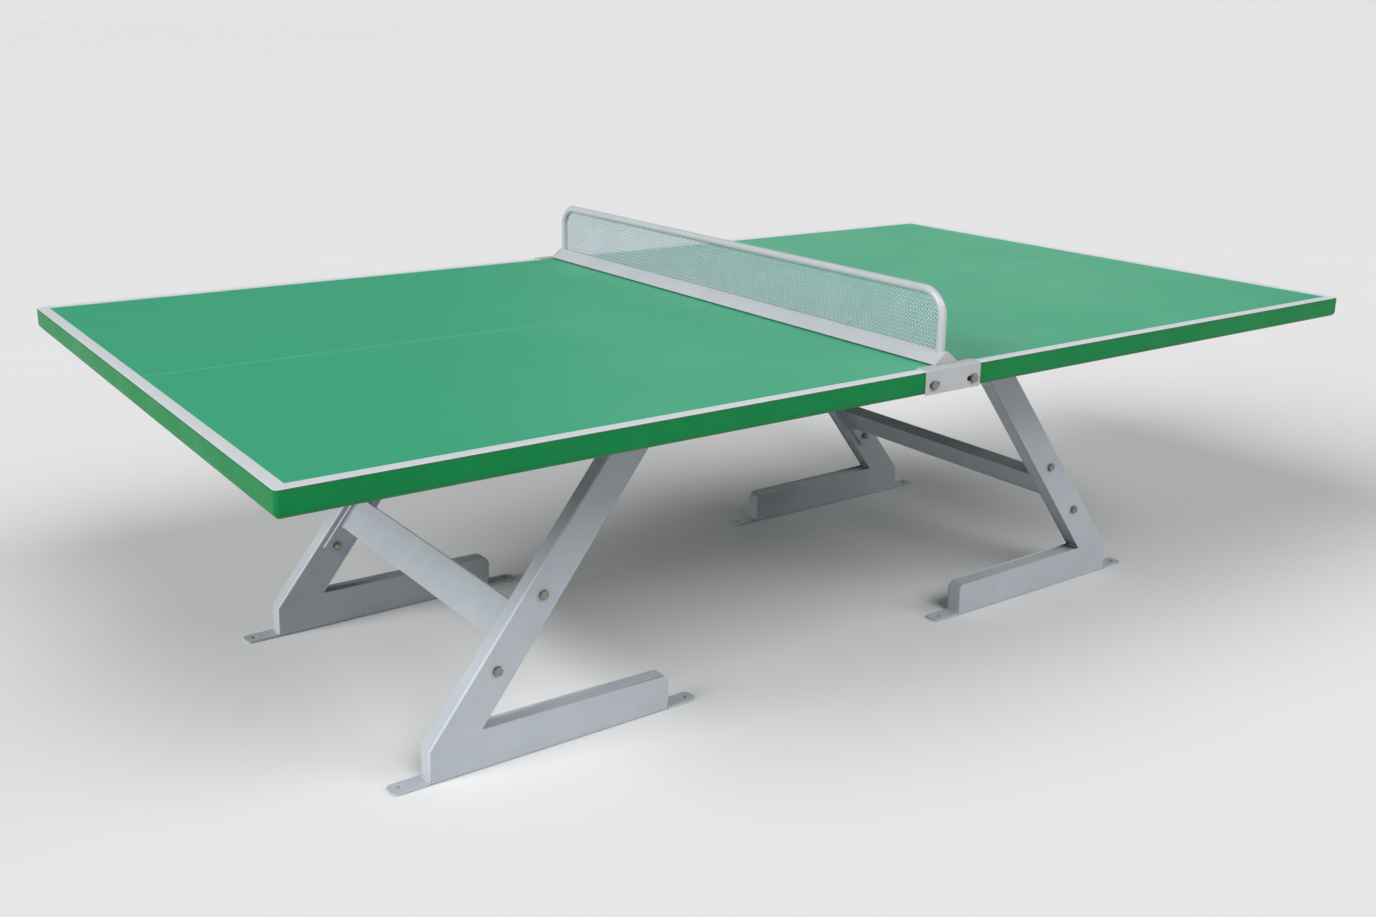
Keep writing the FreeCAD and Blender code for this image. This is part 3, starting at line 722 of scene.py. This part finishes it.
def hardware(kind, axis, diameter, head_height):
    """Detailed bolts and nuts in the places of two CAD nodes, lying along an axis."""
    bolts, nuts = bmesh.new(), bmesh.new()
    unit = Vector([1.0 if index == axis else 0.0 for index in range(3)])
    nut_solids = solids_in(f"{kind}_nuts")
    nut_middles = [sum((point for point in solid), Vector()) / len(solid) for solid in nut_solids]
    for solid in solids_in(f"{kind}_bolts"):
        lows = [min(point[index] for point in solid) for index in range(3)]
        highs = [max(point[index] for point in solid) for index in range(3)]
        low, high = lows[axis], highs[axis]
        middle = (Vector(lows) + Vector(highs)) / 2
        nut_index = min(range(len(nut_middles)), key=lambda index: (nut_middles[index] - middle).length)
        side = 1 if nut_middles[nut_index][axis] < middle[axis] else -1
        head_out = high if side > 0 else low
        tip = low if side > 0 else high
        seat = middle.copy()
        seat[axis] = head_out - side * head_height
        flats = min(highs[index] - lows[index] for index in range(3) if index != axis)
        placed = axis_frame(seat, side * unit)
        add_bolt_head(bolts, placed, flats, head_height)
        nut_levels = [side * (point[axis] - seat[axis]) for point in nut_solids[nut_index]]
        nut_low, nut_high = min(nut_levels), max(nut_levels)
        add_nut(nuts, placed @ Matrix.Translation((0, 0, nut_low)), flats, nut_high - nut_low, diameter / 2)
        add_thread(bolts, placed, diameter / 2, side * (tip - seat[axis]), nut_high + BARE_THREAD)
    finish_piece(f"{kind}_hex_bolts", bolts, zinc, [f"{kind}_bolts"])
    finish_piece(f"{kind}_hex_nuts", nuts, zinc, [f"{kind}_nuts"])
    print(kind, len(nut_solids), "bolts")


hardware("brace", Y, *M12)
hardware("net", Y, *M10)
hardware("centre", X, *M10)
hardware("leg_plate", Z, *M10)

# %% [markdown]
# ## Weld beads
#
# A weld by hand leaves a bead with a ripple every couple of millimetres, where the weld pool froze. The side faces
# of the legs are ground flush, so beads stay only in inner corners: leg to foot, tab to foot, brace to its plates.

# %% Weld beads
RIPPLE = 0.0024           # metres between ripples
RIPPLE_STEPS = 5          # rings to one ripple
RIPPLE_DEPTH = 0.16       # as a share of the bead's radius
WANDER = 0.14             # how far the hand's unevenness changes the radius, as a share of it
WANDER_SIZE = 1 / 180     # metres over which it changes
START_SHARE = 0.35        # the radius at a bead's ends, as a share of it
BEAD_SIDES = 10
CORNER_BEAD, TAB_BEAD, TOP_BEAD, BRACE_BEAD = 0.0045, 0.0025, 0.003, 0.0028     # radii
CORNER_OUT, CORNER_UP = 0.0054, 0.0027      # from the inner corner to the middle of its bead


def add_bead(built, start, end, radius):
    """Rippled bead along a straight joint."""
    along = (end - start).normalized()
    across = along.orthogonal().normalized()
    beside = along.cross(across)
    length = (end - start).length
    steps = max(int(length / (RIPPLE / RIPPLE_STEPS)), 4)
    turns = [math.tau * side / BEAD_SIDES for side in range(BEAD_SIDES)]
    round_bead = [math.cos(turn) * across + math.sin(turn) * beside for turn in turns]
    rings = []
    for step in range(steps + 1):
        distance = length * step / steps
        centre = start + along * distance
        ripple = 1 - RIPPLE_DEPTH + RIPPLE_DEPTH * abs(math.sin(math.pi * distance / RIPPLE))
        wander = 1 + WANDER * noise.noise(centre / WANDER_SIZE)
        taper = min(1.0, START_SHARE + min(distance, length - distance) / (radius * 1.2))
        size = radius * ripple * wander * taper
        rings.append([built.verts.new(centre + size * offset) for offset in round_bead])
    for ring, following in zip(rings, rings[1:]):
        for side in range(BEAD_SIDES):
            next_side = (side + 1) % BEAD_SIDES
            built.faces.new((ring[side], ring[next_side], following[next_side], following[side]))
    built.faces.new(rings[0])
    built.faces.new(rings[-1])


def leg_beads(built, quarter):
    """Beads of one leg: in the foot's inner corner, on both tabs and under the top plate."""
    outwards = 1 if "right" in quarter else -1
    foot_low, foot_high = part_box(f"foot_{quarter}")
    leg_low, leg_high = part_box(f"leg_{quarter}")
    y_low, y_high = foot_low.y + TUBE_CORNER, foot_high.y - TUBE_CORNER
    inner_x = min(point.x * outwards for point in corners_at(f"leg_{quarter}", Z, leg_low.z)) * outwards
    corner_x, corner_z = inner_x - outwards * CORNER_OUT, leg_low.z + CORNER_UP
    add_bead(built, Vector((corner_x, y_low, corner_z)), Vector((corner_x, y_high, corner_z)), CORNER_BEAD)
    tab_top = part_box(f"outer_anchor_tab_{quarter}")[1].z
    for x in (foot_low.x, foot_high.x):
        add_bead(built, Vector((x, y_low, tab_top)), Vector((x, y_high, tab_top)), TAB_BEAD)
    at_top = sorted(point.x for point in corners_at(f"leg_{quarter}", Z, leg_high.z))
    corners = [Vector((x, y, leg_high.z)) for x, y in ((at_top[0], foot_low.y), (at_top[-1], foot_low.y),
                                                       (at_top[-1], foot_high.y), (at_top[0], foot_high.y))]
    for start, end in zip(corners, corners[1:] + corners[:1]):
        add_bead(built, start, end, TOP_BEAD)


def brace_beads(built, half):
    """Beads round both ends of a brace, where it meets its plates."""
    points = [vertex.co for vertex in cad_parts[f"brace_{half}"].data.vertices]
    for end_y in (min(point.y for point in points), max(point.y for point in points)):
        ring = [point for point in points if abs(point.y - end_y) < 2 * ON_LEVEL]
        corners = [min(ring, key=lambda p: p.z), min(ring, key=lambda p: p.x), max(ring, key=lambda p: p.z),
                   max(ring, key=lambda p: p.x)]
        for start, end in zip(corners, corners[1:] + corners[:1]):
            add_bead(built, start.copy(), end.copy(), BRACE_BEAD)


beads = bmesh.new()
for quarter in QUARTERS:
    leg_beads(beads, quarter)
for half in HALVES:
    brace_beads(beads, half)
bead_piece = finish_piece("weld_beads", beads, leg_coat)
print("weld beads:", len(bead_piece.data.polygons), "faces")

# %% [markdown]
# ## Floor and light
#
# A plain studio: a pale floor that runs on past the horizon and a dim white sky with a bright band low down, which
# the floor fades into. Three broad lights do the modelling. The strongest comes from the left and lights the end of
# the top and the narrow leg faces. One from the near side and a weaker one from the near right fill the faces that
# look at the camera. A faint low glow from the far side lifts the faces that the other lights miss. Lights as broad
# as this, 30 degrees across, stand for large soft boxes: they give shadows with no hard edge.

# %% Floor
ROLLER_PATCH = 0.8        # metres between the roller's lighter and darker patches
FLOOR_HALF = 150.0


def pale_floor():
    """Matt floor paint with a barely visible roller texture."""
    material, tree, place = new_material("matt_floor_paint")
    patches = add_node(tree, "ShaderNodeTexNoise", {"Vector": place, "Scale": 1 / ROLLER_PATCH, "Detail": 2.0})
    tone = add_node(tree, "ShaderNodeMix", {"Factor": patches, COLOUR_A: srgb("#D6D6D7"),
                                            COLOUR_B: srgb("#D2D2D3")}, data_type="RGBA")
    shader = add_node(tree, "ShaderNodeBsdfPrincipled", {"Base Color": (tone, MIXED), "Roughness": 0.9})
    add_node(tree, "ShaderNodeOutputMaterial", {"Surface": shader})
    return material


floor_mesh = bpy.data.meshes.new("floor")
floor_corners = [(-FLOOR_HALF, -FLOOR_HALF, 0), (FLOOR_HALF, -FLOOR_HALF, 0), (FLOOR_HALF, FLOOR_HALF, 0),
                 (-FLOOR_HALF, FLOOR_HALF, 0)]
floor_mesh.from_pydata(floor_corners, [], [(0, 1, 2, 3)])
floor_mesh.materials.append(pale_floor())
floor = bpy.data.objects.new("floor", floor_mesh)
scene.collection.objects.link(floor)
print("floor", 2 * FLOOR_HALF, "m wide")

# %% Lights
# The sky is bright up to the first height and dim above the second. Both are sines of the angle above the floor.
BAND_LOW, BAND_HIGH = 0.01, 0.12
BAND_STRENGTH, SKY_STRENGTH = 0.78, 0.08


def soft_sun(name, bearing, height, spread, strength):
    """Far light. Bearing and height are its degrees round from +X and above the floor. Spread makes it soft."""
    data = bpy.data.lights.new(name, "SUN")
    data.angle = math.radians(spread)
    data.energy = strength
    light = bpy.data.objects.new(name, data)
    scene.collection.objects.link(light)
    light.rotation_euler = (0, math.radians(90 - height), math.radians(bearing))


soft_sun("left_key", 180, 30, 32, 3.6)
soft_sun("near_fill", 270, 45, 32, 1.7)
soft_sun("near_right_fill", 315, 30, 32, 0.95)
soft_sun("far_glow", 45, 14, 30, 0.09)
world = bpy.data.worlds.new("studio")
world.use_nodes = True
sky_tree = world.node_tree
sky_place = add_node(sky_tree, "ShaderNodeTexCoord")
sky_axes = add_node(sky_tree, "ShaderNodeSeparateXYZ", {"Vector": (sky_place, "Generated")})
rise = add_node(sky_tree, "ShaderNodeMapRange", {"Value": (sky_axes, "Z"), "From Min": BAND_LOW,
                                                 "From Max": BAND_HIGH, "To Min": BAND_STRENGTH,
                                                 "To Max": SKY_STRENGTH})
sky_tree.links.new(rise.outputs["Result"], sky_tree.nodes["Background"].inputs["Strength"])
sky_tree.nodes["Background"].inputs["Color"].default_value = srgb("#FFFFFF")
scene.world = world
scene.view_settings.view_transform = "Standard"
print("lights made")
